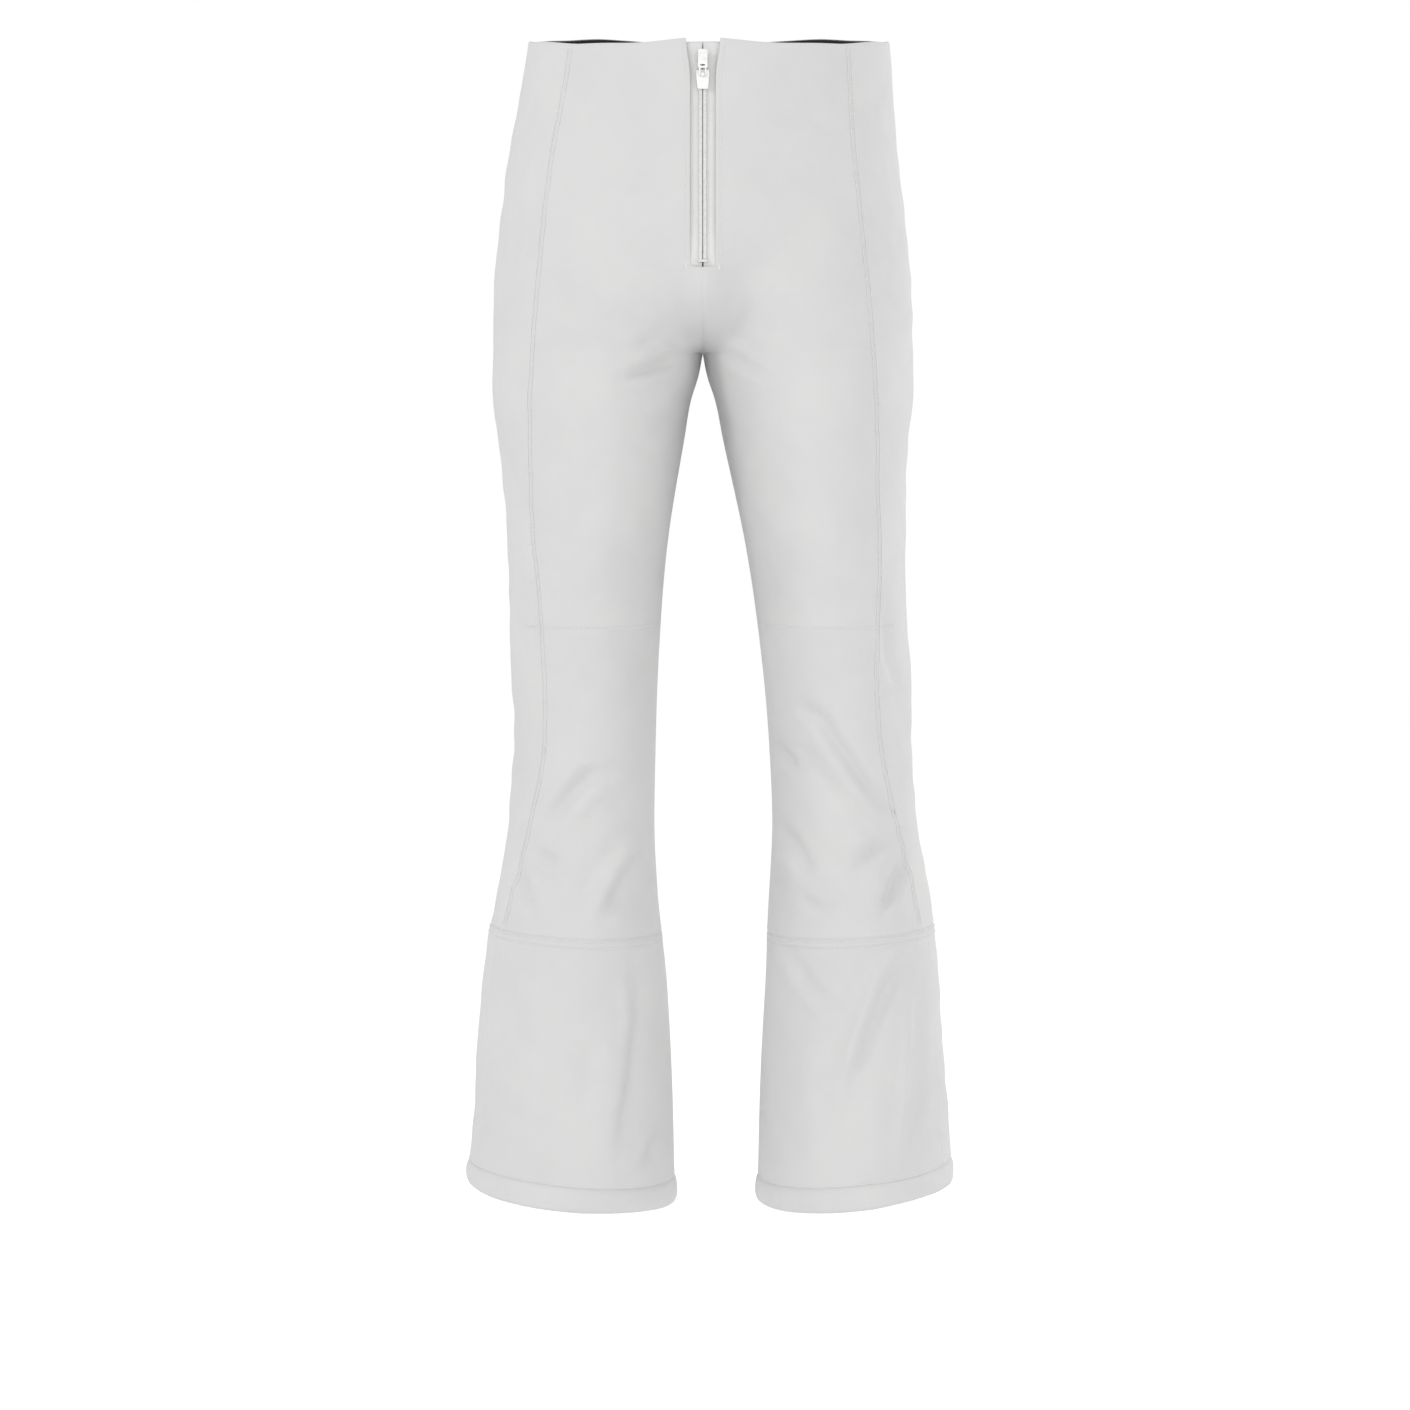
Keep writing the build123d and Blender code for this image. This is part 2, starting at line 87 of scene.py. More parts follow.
# height, distance from the middle line, half width, front reach, back reach of a leg
LEGS = [
    (CROTCH_Z, 93.0, 93.0, 101.0, 118.0),
    (-285.0, 95.2, 91.2, 101.2, 117.6),
    (-305.0, 98.0, 87.6, 101.0, 115.0),
    (-340.0, 99.5, 82.4, 99.5, 109.0),
    (-435.0, 105.5, 70.6, 95.0, 92.0),
    (-530.0, 111.5, 66.0, 87.0, 79.0),
    (-625.0, 114.5, 63.2, 77.0, 74.0),
    (CALF_Z, 118.0, 65.3, 71.0, 75.0),
    (-735.0, 121.0, 70.5, 70.5, 77.5),
    (-789.0, 123.6, 77.0, 73.0, 81.0),
    (-887.0, 125.0, 84.3, 80.0, 87.0),
    (-1026.0, 127.5, 90.5, 90.0, 92.0),
]
# height and distance from the middle line of the seams beside the front and back panels
FRONT_SEAM = [
    (30.0, 116.0), (-60.0, 126.0), (-150.0, 137.0), (-275.0, 148.0), (-435.0, 150.0),
    (-560.0, 144.5), (-620.0, 149.0), (-690.0, 164.0), (-745.0, 178.0), (-787.0, 187.0),
]
BACK_SEAM = [
    (30.0, 108.0), (-95.0, 128.0), (-275.0, 146.0), (-435.0, 146.0),
    (-575.0, 144.0), (-690.0, 152.0), (-787.0, 166.0),
]
RISE_TOP = -196.0      # where the centre front starts to turn under
BLEND = (-140.0, -325.0)  # heights over which the outer hips turn into legs
CLOTH = 1.1            # softshell thickness


# ---- shape of the garment --------------------------------------------------
def smooth(x):
    """0 to 1 with flat ends."""
    x = np.clip(x, 0.0, 1.0)
    return x * x * (3.0 - 2.0 * x)


def along(table, z):
    """Smooth curve through a table's stations, at heights z; one array per column."""
    t = np.array(table, float)[::-1]
    heights, values = t[:, 0], t[:, 1:]
    slopes = np.gradient(values, heights, axis=0)
    z = np.clip(z, heights[0], heights[-1])
    i = np.clip(np.searchsorted(heights, z) - 1, 0, len(heights) - 2)
    step = heights[i + 1] - heights[i]
    s = ((z - heights[i]) / step)[..., None]
    step = step[..., None]
    curve = (
        (2 * s**3 - 3 * s**2 + 1) * values[i]
        + (s**3 - 2 * s**2 + s) * step * slopes[i]
        + (3 * s**2 - 2 * s**3) * values[i + 1]
        + (s**3 - s**2) * step * slopes[i + 1]
    )
    return np.moveaxis(curve, -1, 0)


def stance(z):
    """Sideways shift of the legs, easing in from the crotch to the calf."""
    return STANCE_SHIFT * smooth((CROTCH_Z - z) / (CROTCH_Z - CALF_Z))


def section(u, z):
    """Half of the garment's outline at height z: u runs 0 at the middle front to 1 at the middle back."""
    half, front, back = along(HIPS, z)
    phi = math.pi * (u - 0.5)
    hip_x = half * np.cos(phi)
    hip_y = (back - front) / 2 + (back + front) / 2 * np.sin(phi)
    middle, leg_half, leg_front, leg_back = along(LEGS, z)
    above = z > CROTCH_Z
    middle = np.where(above, half / 2, middle)
    leg_half = np.where(above, half / 2, leg_half)
    psi = 2 * math.pi * u
    leg_x = middle - leg_half * np.cos(psi)
    leg_y = (leg_back - leg_front) / 2 - (leg_back + leg_front) / 2 * np.sin(psi)
    rise = np.clip((RISE_TOP - z) / (RISE_TOP - CROTCH_Z), 0.0, 1.0)
    near = 1.0 - np.sqrt(1.0 - rise**2)
    far = smooth((BLEND[0] - z) / (BLEND[0] - BLEND[1]))
    middle_share = np.abs(np.cos(math.pi * u)) ** 48
    w = middle_share * near + (1.0 - middle_share) * far
    return hip_x * (1 - w) + leg_x * w, hip_y * (1 - w) + leg_y * w


def outward(u, z):
    """Unit vector out of the cloth, in plan."""
    step = 2e-3
    x0, y0 = section(u - step, z)
    x1, y1 = section(u + step, z)
    tx, ty = x1 - x0, y1 - y0
    length = np.hypot(tx, ty) + 1e-9
    return ty / length, -tx / length


HALVINGS = 40


def u_where(x_wanted, z, front=True):
    """Row position at which the front or back outline is x_wanted from the middle."""
    outer = np.full_like(z, 0.5)
    low, high = (np.zeros_like(z), outer) if front else (outer, np.ones_like(z))
    for _ in range(HALVINGS):
        mid = (low + high) / 2
        inside = (section(mid, z)[0] < x_wanted) == front
        low = np.where(inside, mid, low)
        high = np.where(inside, high, mid)
    return (low + high) / 2


def window_half(z):
    """Half width of the zip window: flared at the waist, with small round corners at the bottom."""
    flare = WINDOW_FLARE * smooth((z + FLARE_HEIGHT) / FLARE_HEIGHT)
    turned = np.clip(WINDOW_BOTTOM + WINDOW_ROUND - z, 0, WINDOW_ROUND) / WINDOW_ROUND
    corner = np.sqrt(np.clip(1 - turned**2, 0, 1))
    return (WINDOW_HALF + flare) * corner * (z > WINDOW_BOTTOM)


def front_edge(z):
    """Row position of the front panel's inner edge."""
    half = window_half(z)
    return np.where(half > 0.05, u_where(half, z), 0.0)


def front_seam(z):
    return u_where(along(FRONT_SEAM, z)[0], z)


def back_seam(z):
    return u_where(along(BACK_SEAM, z)[0], z, front=False)


def constant(value):
    return lambda z: np.full_like(z, value)


def rim(u, z):
    """How far a point is moved up: the waist edge waves a little and rises at the back."""
    wave = 0.9 * np.exp(-(((u - 0.16) / 0.1) ** 2)) * -2.4 + 0.35 * np.sin(41.0 * u)
    wave = wave + 1.6 * smooth(1.0 - u / 0.09)
    wave = wave - 2.6 * smooth((u - 0.85) / 0.12) + 1.8 * np.exp(-(((u - 0.76) / 0.07) ** 2))
    y = section(u, np.full_like(z, 0.0) + 0 * u)[1]
    rise = WAIST_RISE * np.clip((y - RISE_START) / (BACK_REACH - RISE_START), 0.0, 1.0)
    return (wave - 0.4) * np.clip(1.0 + z / 90.0, 0.0, 1.0) + rise * smooth(1.0 + z / 150.0)


def lean(z):
    """Slope of a seam round the leg: level at the knee, and more towards the hem."""
    return SEAM_LEAN * np.clip((KNEE_Z - z) / (KNEE_Z - HEM_Z), 0.0, 1.1)


def sway(x, z):
    """The waist leans to one side, away from the zip."""
    return WAIST_SWAY * smooth(np.abs(x) / 110.0) * smooth(1.0 + z / 110.0)


# ---- folds ------------------------------------------------------------------
# Each fold is a line of (x, z) points seen from the front, its half width and its height.
# A negative height is a crease that sinks in.
# Not all of these points were drawn one by one: some came from another program.
FOLDS = {
    "right": [
        ([(-57, -260), (-32, -246)], 4, -1.9),
        ([(-70, -288), (-45, -280), (-20, -269)], 5, -3.6),
        ([(-62, -274), (-38, -265), (-20, -256)], 6, 1.8),
        ([(-80, -229), (-49, -229)], 7, -1.1),
        ([(-26, -260), (-9, -252)], 4, -1.6),
        ([(-50, -318), (-24, -304)], 8, 1.4),
        ([(-148, -400), (-146, -500), (-141, -605)], 4, -0.7),
        ([(-83, -629), (-102, -633), (-124, -661), (-136, -680)], 7, -3.0),
        ([(-76, -642), (-98, -650), (-118, -676)], 9, 2.4),
        ([(-146, -702), (-125, -711)], 5, -2.4),
        ([(-163, -720), (-149, -755)], 5, -2.8),
        ([(-50, -702), (-67, -722), (-86, -760)], 7, -2.8),
        ([(-62, -698), (-80, -722), (-98, -756)], 9, 2.4),
        ([(-166, -839), (-150, -878)], 7, -1.3),
        ([(-61, -800), (-58, -850), (-63, -900), (-75, -973)], 6, -2.8),
        ([(-78, -850), (-84, -910), (-92, -970)], 11, 2.2),
        ([(-34, -951), (-45, -961), (-52, -980)], 5, -3.0),
        ([(-140, -800), (-150, -880), (-156, -950)], 13, 1.4),
    ],
    "left": [
        ([(14, -242), (34, -254), (52, -268)], 5, -1.2),
        ([(14, -264), (34, -274), (58, -286)], 5, -1.8),
        ([(40, -60), (109, -70)], 7, -0.9),
        ([(44, -92), (120, -82)], 9, 0.7),
        ([(65, -575), (82, -571), (104, -584), (131, -623), (159, -661), (173, -670)], 6, -3.2),
        ([(72, -592), (98, -604), (122, -636), (142, -662)], 8, 2.2),
        ([(62, -606), (82, -628)], 5, -3.6),
        ([(64, -676), (82, -697), (93, -719)], 6, -2.8),
        ([(58, -698), (74, -716), (86, -736)], 8, 2.0),
        ([(82, -741), (104, -752), (121, -747)], 5, -2.0),
        ([(131, -722), (153, -697), (169, -687)], 7, -2.4),
        ([(126, -700), (146, -682)], 9, 1.8),
        ([(157, -757), (169, -728), (179, -709)], 5, -4.0),
        ([(146, -744), (158, -718)], 7, 2.0),
        ([(158, -490), (161, -529), (171, -561)], 5, -2.4),
        ([(152, -561), (169, -561)], 4, -1.4),
        ([(71, -784), (90, -816), (124, -849)], 7, -2.0),
        ([(184, -797), (165, -816), (153, -844), (132, -908)], 7, -4.0),
        ([(168, -798), (150, -822), (138, -852), (118, -906)], 10, 2.6),
        ([(194, -820), (193, -866), (190, -922), (182, -980)], 6, -3.2),
        ([(84, -880), (94, -930), (98, -975)], 13, 1.5),
        ([(150, -890), (152, -940), (148, -980)], 12, 1.5),
    ],
}
# The same on the back half, where the outline is seen from behind.
BACK_FOLDS = [
    ([(18, -268), (52, -292), (104, -300)], 9, -2.8),
    ([(16, -250), (46, -262), (90, -262)], 11, 1.6),
    ([(24, -296), (60, -318), (110, -322)], 9, -1.8),
    ([(76, -512), (104, -526), (140, -520)], 8, -3.0),
    ([(70, -540), (100, -552), (146, -546)], 9, -3.4),
    ([(74, -562), (108, -574), (150, -566)], 10, 2.4),
    ([(72, -590), (104, -598), (138, -588)], 8, -2.4),
    ([(80, -660), (110, -690), (140, -704)], 11, -2.0),
    ([(84, -720), (112, -744), (150, -752)], 10, -2.6),
    ([(96, -752), (130, -770), (162, -768)], 10, 2.0),
    ([(90, -800), (84, -880), (80, -960)], 14, 2.4),
    ([(124, -806), (128, -880), (126, -970)], 13, -2.6),
    ([(160, -800), (166, -890), (170, -970)], 13, 2.4),
]


def fold(x, z, points, width, height):
    """Height of one fold at (x, z): a soft ridge or crease that fades at its ends."""
    best = np.full(np.shape(x), np.inf)
    where = np.zeros(np.shape(x))
    side = np.zeros(np.shape(x))
    runs = [math.dist(a, b) for a, b in zip(points, points[1:])]
    total = sum(runs)
    done = 0.0
    for (ax, az), (bx, bz), run in zip(points, points[1:], runs):
        dx, dz = (bx - ax) / run, (bz - az) / run
        t = np.clip((x - ax) * dx + (z - az) * dz, 0.0, run)
        off_x, off_z = x - ax - t * dx, z - az - t * dz
        gap = np.hypot(off_x, off_z)
        nearer = gap < best
        best = np.where(nearer, gap, best)
        where = np.where(nearer, (done + t) / total, where)
        side = np.where(nearer, np.sign(off_x * dz - off_z * dx), side)
        done += run
    fade = smooth(where / 0.3) * smooth((1.0 - where) / 0.3) * 0.75 + 0.25
    core = np.exp(-((best / width) ** 2))
    lip = np.exp(-(((best - 1.7 * width) / (0.9 * width)) ** 2)) * (0.3 + 0.22 * side)
    return 1.2 * height * fade * (core - lip)


RIPPLES = [
    (rng.uniform(-1, 1), rng.uniform(0, 2 * math.pi), rng.uniform(70, 190), rng.uniform(0.12, 0.32))
    for _ in range(12)
] + [
    (rng.uniform(-1, 1), rng.uniform(0, 2 * math.pi), rng.uniform(24, 48), rng.uniform(0.05, 0.14))
    for _ in range(12)
]


def ripples(u, z, side):
    """The cloth's slow unevenness, different on each leg."""
    girth = u * 520.0 + side * 77.0
    total = np.zeros(np.shape(u))
    for turn, phase, wave, height in RIPPLES:
        angle = turn * math.pi / 2
        travel = girth * math.cos(angle) + z * math.sin(angle)
        total += height * np.sin(2 * math.pi * travel / wave + phase)
    return total * smooth(u / 0.08) * smooth((1.0 - u) / 0.08)


DEEPEST = -5.0         # folds stay clear of the gaiter inside


def relief(word, side, u, z):
    """How far the cloth stands off the plain shape."""
    x = section(u, z)[0]
    seen_x = side * x + stance(z)
    seen_z = z + lean(z) * (x - FLARE_MIDDLE)
    facing = smooth(np.sin(2 * math.pi * np.clip(u, 0, 0.5)) * 2.2 + 0.15)
    behind = smooth(-np.sin(2 * math.pi * np.clip(u, 0.5, 1)) * 2.2 + 0.15)
    facing = np.where(u <= 0.5, facing, 0.0)
    behind = np.where(u > 0.5, behind, 0.0)
    total = np.zeros(np.shape(x))
    for points, width, height in FOLDS[word]:
        total += facing * fold(seen_x, seen_z, points, width, height)
    for points, width, height in BACK_FOLDS:
        total += behind * fold(x, z, points, width, height * (1.0 if side > 0 else 0.85))
    calm = smooth((np.abs(x) - 15.0) / 45.0)
    calm = calm + (1.0 - calm) * smooth((CROTCH_Z + 30.0 - z) / 50.0)
    total = total - side * 2.6 * smooth((-740.0 - z) / 90.0)
    waist = smooth((WAIST_Z - z) / 60.0) * 0.8 + 0.2
    return np.maximum(total + ripples(u, z, side), DEEPEST) * calm * waist


def cloth_point(word, side, u, z, out=0.0):
    """Point of the outer face at row position u and height z, raised by out."""
    x, y = section(u, z)
    nx, ny = outward(u, z)
    off = relief(word, side, u, z) + out
    nx = np.where(z > CROTCH_Z, nx * smooth(x / 9.0), nx)
    across = side * np.maximum(x + nx * off, 0.0)
    up = z + rim(u, z) + lean(z) * (x - FLARE_MIDDLE)
    return np.stack([across + stance(z) + sway(across, z), y + ny * off, up], axis=-1)


# ---- mesh helpers -----------------------------------------------------------
EDGE_STEPS = (0.0, 0.7, 1.4, 2.4, 3.8, 6.0)
PITCH = 3.2            # grid spacing of the cloth


def spaced(length):
    """Positions from 0 to length, close together at both ends."""
    ends = np.array(EDGE_STEPS[:-1])
    count = max(3, round((length - 2 * EDGE_STEPS[-1]) / PITCH))
    middle = np.linspace(EDGE_STEPS[-1], length - EDGE_STEPS[-1], count)
    return np.concatenate([ends, middle, (length - ends)[::-1]])


def finish_piece(obj, materials, nodes=()):
    """Give a piece its materials and its body, and hide the CAD nodes that it stands for."""
    for material in materials:
        obj.data.materials.append(material)
    obj.data.shade_smooth()
    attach(obj, "root")
    if nodes:
        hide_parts(*nodes)
    return obj


def mesh_object(name, points, faces, uv=None):
    """Object from points in millimetres, with one texture coordinate per point."""
    mesh = bpy.data.meshes.new(name)
    mesh.from_pydata((np.asarray(points) * MM).tolist(), [], faces)
    if uv is not None:
        layer = mesh.uv_layers.new(name="cloth")
        corners = np.zeros(len(mesh.loops), np.int32)
        mesh.loops.foreach_get("vertex_index", corners)
        layer.data.foreach_set("uv", np.asarray(uv, np.float32)[corners].ravel())
    mesh.validate()
    obj = bpy.data.objects.new(name, mesh)
    bpy.context.scene.collection.objects.link(obj)
    return obj


def grid_faces(rows, columns, flip, wrap=False):
    """Quads of a grid whose rows go down and whose columns go round."""
    faces = []
    for r in range(rows - 1):
        for c in range(columns if wrap else columns - 1):
            a, b = r * columns + c, r * columns + (c + 1) % columns
            quad = (a, a + columns, b + columns, b)
            faces.append(quad[::-1] if flip else quad)
    return faces


def cloth_grid(name, points, flip, wrap=False, thickness=CLOTH):
    """Sheet of cloth through a grid of points, with its thickness inwards and its size in metres as UV."""
    rows, columns = points.shape[:2]
    steps = np.linalg.norm(np.diff(points, axis=1), axis=2)
    arc = np.concatenate([np.zeros((rows, 1)), np.cumsum(steps, axis=1)], axis=1)
    arc -= arc[:, columns // 2: columns // 2 + 1]
    drops = np.linalg.norm(np.diff(points, axis=0), axis=2)
    drop = np.concatenate([np.zeros((1, columns)), np.cumsum(drops, axis=0)], axis=0)
    uv = np.stack([arc, drop.mean(axis=1, keepdims=True) + np.zeros_like(arc)], axis=-1) * MM
    obj = mesh_object(name, points.reshape(-1, 3), grid_faces(rows, columns, flip, wrap), uv.reshape(-1, 2))
    shape = bmesh.new()
    shape.from_mesh(obj.data)
    for edge in shape.edges:
        edge.smooth = not edge.is_boundary
    shape.to_mesh(obj.data)
    shape.free()
    solid = obj.modifiers.new("thickness", "SOLIDIFY")
    solid.thickness = thickness * MM
    solid.offset = -1.0
    width = float((arc[:, -1] - arc[:, 0]).max()) + (float(steps.mean()) if wrap else 0.0)
    length = float(drop[-1].max())
    quad = steps[:-1] * (drops[:, :-1] + drops[:, 1:]) / 2
    area = float(quad.sum()) * (columns / (columns - 1) if wrap else 1.0)
    return obj, (width * MM, length * MM), min(area * MM * MM, width * length * MM * MM)


def seam_roll(distance, depth):
    """A sewn edge dips in at its stitches, behind a slight ridge."""
    dip = -depth * np.exp(-((distance / 0.95) ** 2))
    return dip + 0.4 * depth * np.exp(-(((distance - 3.6) / 2.2) ** 2))


CROTCH_ROWS = [CROTCH_Z + lift for lift in (8.5, 6.0, 4.0, 2.4, 1.3, 0.6, 0.15, 0.04, 0.0, -1.5)]
WINDOW_LIFTS = (6.0, 4.0, 2.7, 2.0, 1.3, 0.7, 0.3, 0.08, 0.0, -0.08, -1.2, -2.4)
WINDOW_ROWS = [WINDOW_BOTTOM + lift for lift in WINDOW_LIFTS]


def panel_rows(top, bottom):
    """Heights of a panel's rows: the same along every seam, and closer where an edge turns sharply."""
    rows = set()
    for upper, lower in ((WAIST_Z, KNEE_Z), (KNEE_Z, CUFF_Z), (CUFF_Z, HEM_SEAM_Z)):
        rows |= set((upper - spaced(upper - lower)).round(3))
    sharp = CROTCH_ROWS + WINDOW_ROWS
    rows = {row for row in rows if min(abs(row - extra) for extra in sharp) > 0.9}
    rows = np.array(sorted(rows | set(sharp), reverse=True))
    return rows[(rows <= top + 0.01) & (rows >= bottom - 0.01)]


def declare(flat, area):
    """Round a piece's flat size and area; the rounded values are not used."""
    flat = (round(flat[0], 4), round(flat[1], 4))
    area = round(min(area, flat[0] * flat[1]), 5)


SIDE_SEAM_DEPTH = 0.28
DEEPEST_ROLL = -0.9
SEAM_DEPTHS = {WAIST_Z: 0.5, KNEE_Z: 0.2, CUFF_Z: 0.6, HEM_SEAM_Z: 0.5}


def panel(name, word, side, start, stop, top, bottom):
    """One sewn panel, between two seam lines and two heights."""
    heights = panel_rows(top, bottom)
    first, last = start(heights), stop(heights)
    middle = heights[len(heights) // 2: len(heights) // 2 + 1]
    ends = [np.array(section(edge(middle), middle)) for edge in (start, stop)]
    bow = math.pi / 2 * float(np.hypot(*(ends[1] - ends[0])).max())
    share = spaced(max(bow, 30.0))
    share = share / share[-1]
    u = first[:, None] + (last - first)[:, None] * share[None, :]
    z = np.repeat(heights[:, None], len(share), axis=1)
    plain = np.stack(section(u, z), axis=-1)
    steps = np.hypot(*np.moveaxis(np.diff(plain, axis=1), -1, 0))
    runs = np.concatenate([np.zeros((len(heights), 1)), np.cumsum(steps, axis=1)], axis=1)
    beside = np.minimum(runs, runs[:, -1:] - runs)
    roll = seam_roll(beside, SIDE_SEAM_DEPTH) + seam_roll(top - z, SEAM_DEPTHS[top])
    roll = roll + seam_roll(z - bottom, SEAM_DEPTHS[bottom])
    points = cloth_point(word, side, u, z, np.maximum(roll, DEEPEST_ROLL))
    obj, flat, area = cloth_grid(f"{name}_{word}_cloth", points, side < 0)
    finish_piece(obj, [SOFTSHELL, BACKER], [f"{name}_{word}"])
    obj.modifiers["thickness"].material_offset = 1
    return obj, flat, area


# ---- stitches ---------------------------------------------------------------
STITCH = 2.7
STITCH_GAP = 0.7
THREAD = 0.24


def at_distance(place, distances, rows):
    """A line's row of three values at a distance along it."""
    return np.array([np.interp(place, distances, rows[:, k]) for k in range(3)])


def stitches(name, runs, material):
    """Rows of thread stitches along lines of (points, normals)."""
    verts, faces = [], []
    rings = ((0.0, 0.35, -0.22), (0.16, 0.9, 0.02), (0.5, 1.05, 0.1), (0.84, 0.9, 0.02), (1.0, 0.35, -0.22))
    around = 6
    for points, normals in runs:
        gaps = np.linalg.norm(np.diff(points, axis=0), axis=1)
        s = np.concatenate([[0.0], np.cumsum(gaps)])
        starts = np.arange(STITCH_GAP, s[-1] - STITCH, STITCH + STITCH_GAP)
        for begin in starts:
            ends = [at_distance(place, s, points) for place in (begin, begin + STITCH)]
            n = at_distance(begin, s, normals)
            n /= np.linalg.norm(n)
            run = ends[1] - ends[0]
            across = np.cross(run / np.linalg.norm(run), n)
            base = len(verts)
            for share, size, lift in rings:
                centre = ends[0] + run * share + n * lift
                for k in range(around):
                    angle = 2 * math.pi * k / around
                    verts.append(centre + size * THREAD * (math.cos(angle) * across + math.sin(angle) * n))
            for r in range(len(rings) - 1):
                for k in range(around):
                    a, b = base + r * around + k, base + r * around + (k + 1) % around
                    faces.append((a, b, b + around, a + around))
            faces.append(tuple(base + k for k in range(around))[::-1])
            faces.append(tuple(base + (len(rings) - 1) * around + k for k in range(around)))
    obj = mesh_object(name, np.array(verts), faces)
    return finish_piece(obj, [material])


def shifted(seam, offset):
    """A seam line moved round the cloth by an offset."""
    def moved(z):
        u = seam(z)
        step = 1e-3
        x0, y0 = section(u - step, z)
        x1, y1 = section(u + step, z)
        return u + offset * 2 * step / (np.hypot(x1 - x0, y1 - y0) + 1e-9)
    return moved


def down_line(word, side, seam, top, bottom, off=0.0):
    """Line of points and normals down a seam."""
    z = np.linspace(top, bottom, max(8, int((top - bottom) / 3)))
    u = seam(z)
    nx, ny = outward(u, z)
    normals = np.stack([side * nx, ny, np.zeros_like(nx)], axis=-1)
    return cloth_point(word, side, u, z, THREAD * 0.6 + off), normals


def round_line(word, side, height, first, last, off=0.0):
    """Line of points and normals round the garment at one height."""
    u = np.linspace(first, last, max(12, int(abs(last - first) * 170)))
    z = np.full_like(u, height)
    nx, ny = outward(u, z)
    normals = np.stack([side * nx, ny, np.zeros_like(nx)], axis=-1)
    return cloth_point(word, side, u, z, THREAD * 0.6 + off), normals


# ---- materials --------------------------------------------------------------
def material(name, build):
    made = bpy.data.materials.new(name)
    made.use_nodes = True
    tree = made.node_tree
    build(tree, tree.nodes["Principled BSDF"])
    return made


def node(tree, kind, inputs=(), **settings):
    """Add a node, set its own settings, then its input values or links."""
    made = tree.nodes.new(kind)
    for key, value in settings.items():
        setattr(made, key, value)
    for key, value in dict(inputs).items():
        if isinstance(value, bpy.types.NodeSocket):
            tree.links.new(value, made.inputs[key])
        else:
            made.inputs[key].default_value = value
    return made


def ramp(tree, value, low, high, stops=(0.0, 1.0)):
    """Colour ramp between two colours."""
    made = node(tree, "ShaderNodeValToRGB", {"Fac": value})
    made.color_ramp.elements[0].position = stops[0]
    made.color_ramp.elements[1].position = stops[1]
    made.color_ramp.elements[0].color = (*low, 1)
    made.color_ramp.elements[1].color = (*high, 1)
    return made.outputs["Color"]


def weave(tree, pitch, scatter):
    """Height of a plain weave: two crossed sets of yarns with uneven thickness, in metres of UV."""
    uv = node(tree, "ShaderNodeUVMap", uv_map="cloth").outputs["UV"]
    uneven = node(tree, "ShaderNodeTexNoise", {"Vector": uv, "Scale": 0.25 / pitch, "Detail": 2.0})
    bent = node(
        tree, "ShaderNodeVectorMath",
        {0: uneven.outputs["Color"], 1: (scatter, scatter, 0), 2: uv}, operation="MULTIPLY_ADD",
    ).outputs["Vector"]
    yarns = []
    for direction in ("X", "Y"):
        wave = node(
            tree, "ShaderNodeTexWave", {"Vector": bent, "Scale": 1 / (2 * math.pi * pitch) * math.pi},
            bands_direction=direction,
        )
        yarns.append(wave.outputs["Fac"])
    crossed = node(tree, "ShaderNodeMath", {0: yarns[0], 1: yarns[1]}, operation="MULTIPLY").outputs[0]
    return uv, crossed


def cloth_material(name, colour, shade, pitch, rough, bump, sheen, slub=0.16):
    """Woven cloth: yarns, slubs, faint soiling and a soft bloom at grazing angles."""
    def build(tree, shader):
        uv, crossed = weave(tree, pitch, pitch * 0.5)
        broad = node(
            tree, "ShaderNodeTexNoise", {"Vector": uv, "Scale": 9.0, "Detail": 4.0, "Roughness": 0.6},
        )
        fine = node(tree, "ShaderNodeTexNoise", {"Vector": uv, "Scale": 700.0, "Detail": 2.0})
        tone = node(
            tree, "ShaderNodeMath", {0: fine.outputs["Fac"], 1: slub, 2: broad.outputs["Fac"]},
            operation="MULTIPLY_ADD",
        ).outputs[0]
        base = ramp(tree, tone, shade, colour, (0.35, 0.72))
        darker = tuple(0.93 * c for c in shade)
        yarn = ramp(tree, crossed, darker, (1, 1, 1), (0.0, 0.35))
        mixed = node(
            tree, "ShaderNodeMix", {"Factor": 0.12, "A": base, "B": yarn},
            data_type="RGBA", blend_type="MULTIPLY",
        )
        tree.links.new(mixed.outputs[2], shader.inputs["Base Color"])
        height = node(
            tree, "ShaderNodeMath", {0: fine.outputs["Fac"], 1: 0.6, 2: crossed}, operation="MULTIPLY_ADD",
        ).outputs[0]
        lump = node(tree, "ShaderNodeBump", {"Height": height, "Strength": bump, "Distance": 0.0002})
        tree.links.new(lump.outputs["Normal"], shader.inputs["Normal"])
        gloss = node(
            tree, "ShaderNodeMapRange",
            {"Value": broad.outputs["Fac"], "To Min": rough - 0.06, "To Max": rough + 0.06},
        )
        tree.links.new(gloss.outputs["Result"], shader.inputs["Roughness"])
        shader.inputs["Sheen Weight"].default_value = sheen
        shader.inputs["Sheen Roughness"].default_value = 0.45
        shader.inputs["Specular IOR Level"].default_value = 0.25
    return material(name, build)


